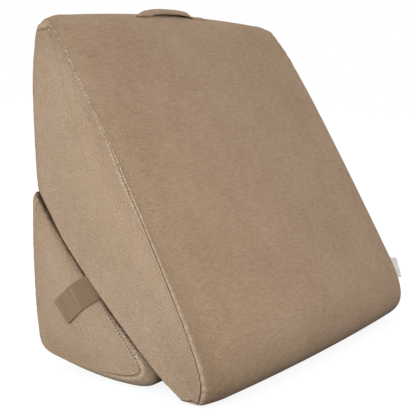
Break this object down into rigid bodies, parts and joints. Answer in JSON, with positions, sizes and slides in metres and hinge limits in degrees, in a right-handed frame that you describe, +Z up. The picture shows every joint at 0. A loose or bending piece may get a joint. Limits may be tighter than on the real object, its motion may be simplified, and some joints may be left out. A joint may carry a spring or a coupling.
{
  "type": "bed wedge pillow",
  "caption": "Bed wedge pillow in its high folded stand: a large plush wedge leans on a small one, with a carry handle, side straps and a sewn tag.",
  "frame": {"origin": "middle of the footprint of the whole part, on the floor that it stands on", "axes": "+X to the right seen from the front, along the width of the wedges; +Y to the back; +Z up"},
  "size_m": [0.636, 0.3558, 0.5295],
  "materials": {
    "plush": "short soft plush pile, matt, taupe, faintly mottled",
    "webbing": "flat woven webbing, matt, darker taupe",
    "tag": "smooth woven tape, matt, bare white"
  },
  "bodies": {
    "root": {"large_wedge": "plush", "small_wedge": "plush", "handle": "plush", "strap_left": "webbing", "strap_right": "webbing", "label": "tag"}
  },
  "joints": []
}
